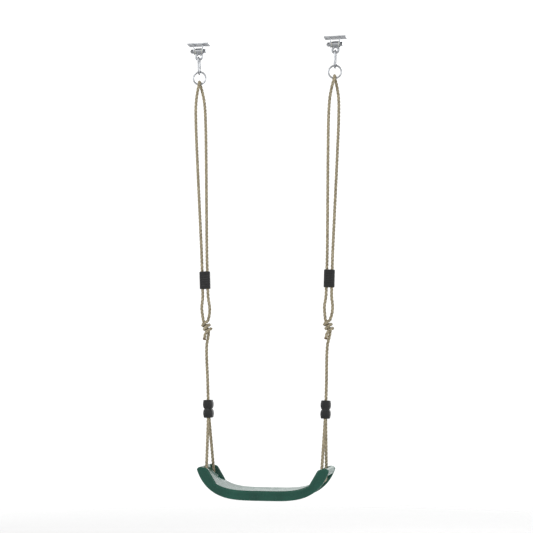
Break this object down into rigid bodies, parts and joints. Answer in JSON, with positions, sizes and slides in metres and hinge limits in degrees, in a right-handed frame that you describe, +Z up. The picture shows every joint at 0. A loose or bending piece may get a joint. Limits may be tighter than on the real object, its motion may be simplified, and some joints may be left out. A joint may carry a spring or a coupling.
{
  "type": "belt swing seat",
  "caption": "Moulded belt swing seat slung on adjustable ropes, with snap hooks, rings and pivoting beam hangers.",
  "frame": {"origin": "midway between the two hangers, on the plane of the beam's underside, which the tops of both hanger plates touch", "axes": "+X along the beam to the right, +Y to the back, +Z up; the seat hangs below the origin and swings about X"},
  "size_m": [0.56, 0.15, 1.575],
  "materials": {
    "seat_plastic": "semi-gloss moulded green",
    "rope_fibre": "matt beige laid rope",
    "black_plastic": "satin moulded black",
    "zinc_steel": "zinc plated",
    "bush_nylon": "natural nylon"
  },
  "bodies": {
    "root": {"hanger_bracket_left": "zinc_steel", "hanger_bolt_left": "zinc_steel", "hanger_nut_left": "zinc_steel", "bolt_washer_head_left": "zinc_steel", "bolt_washer_nut_left": "zinc_steel", "hanger_bush_a_left": "bush_nylon", "hanger_bush_b_left": "bush_nylon", "hanger_bracket_right": "zinc_steel", "hanger_bolt_right": "zinc_steel", "hanger_nut_right": "zinc_steel", "bolt_washer_head_right": "zinc_steel", "bolt_washer_nut_right": "zinc_steel", "hanger_bush_a_right": "bush_nylon", "hanger_bush_b_right": "bush_nylon"},
    "swing_arms": {"hanger_eye_left": "zinc_steel", "hanger_eye_right": "zinc_steel"},
    "line_left": {"snap_hook_left": "zinc_steel", "gate_rivet_left": "zinc_steel", "rope_ring_left": "zinc_steel", "main_rope_left": "rope_fibre", "fork_ferrule_left": "black_plastic"},
    "line_right": {"snap_hook_right": "zinc_steel", "gate_rivet_right": "zinc_steel", "rope_ring_right": "zinc_steel", "main_rope_right": "rope_fibre", "fork_ferrule_right": "black_plastic"},
    "seat": {"seat_belt": "seat_plastic"},
    "gate_left": {"hook_gate_left": "zinc_steel", "gate_spring_left": "zinc_steel"},
    "gate_right": {"hook_gate_right": "zinc_steel", "gate_spring_right": "zinc_steel"},
    "adjuster_left": {"length_adjuster_left": "black_plastic"},
    "adjuster_right": {"length_adjuster_right": "black_plastic"}
  },
  "joints": [
    {"name": "swing", "type": "hinge", "parent": "root", "child": "swing_arms", "pos_m": [0, 0, -0.025], "axis": [1, 0, 0], "range_deg": [-60, 60]},
    {"name": "sway_left", "type": "hinge", "parent": "swing_arms", "child": "line_left", "pos_m": [-0.242, 0, -0.0476], "axis": [0, 1, 0], "range_deg": [-4, 4]},
    {"name": "sway_right", "type": "hinge", "parent": "swing_arms", "child": "line_right", "pos_m": [0.242, 0, -0.0476], "axis": [0, 1, 0], "range_deg": [-4, 4]},
    {"name": "seat_level", "type": "hinge", "parent": "line_left", "child": "seat", "pos_m": [-0.196, 0, -1.50901], "axis": [0, 1, 0], "range_deg": [-5, 5]},
    {"name": "gate_turn_left", "type": "hinge", "parent": "line_left", "child": "gate_left", "pos_m": [-0.24055, 0.0105, -0.09358], "axis": [0.9995, 0, 0.0315], "range_deg": [0, 22], "stiffness_Nm_per_rad": 0.05, "springref_deg": -17.19},
    {"name": "gate_turn_right", "type": "hinge", "parent": "line_right", "child": "gate_right", "pos_m": [0.24055, 0.0105, -0.09358], "axis": [0.9995, 0, -0.0315], "range_deg": [0, 22], "stiffness_Nm_per_rad": 0.05, "springref_deg": -17.19},
    {"name": "adjuster_slide_left", "type": "slide", "parent": "line_left", "child": "adjuster_left", "axis": [-0.0315, 0, 0.9995], "range_m": [-0.025, 0.04]},
    {"name": "adjuster_slide_right", "type": "slide", "parent": "line_right", "child": "adjuster_right", "axis": [0.0315, 0, 0.9995], "range_m": [-0.025, 0.04]}
  ],
  "couplings": [
    {"joint": "sway_right", "follows": "sway_left", "ratio": 1},
    {"joint": "seat_level", "follows": "sway_left", "ratio": -1.2347}
  ]
}
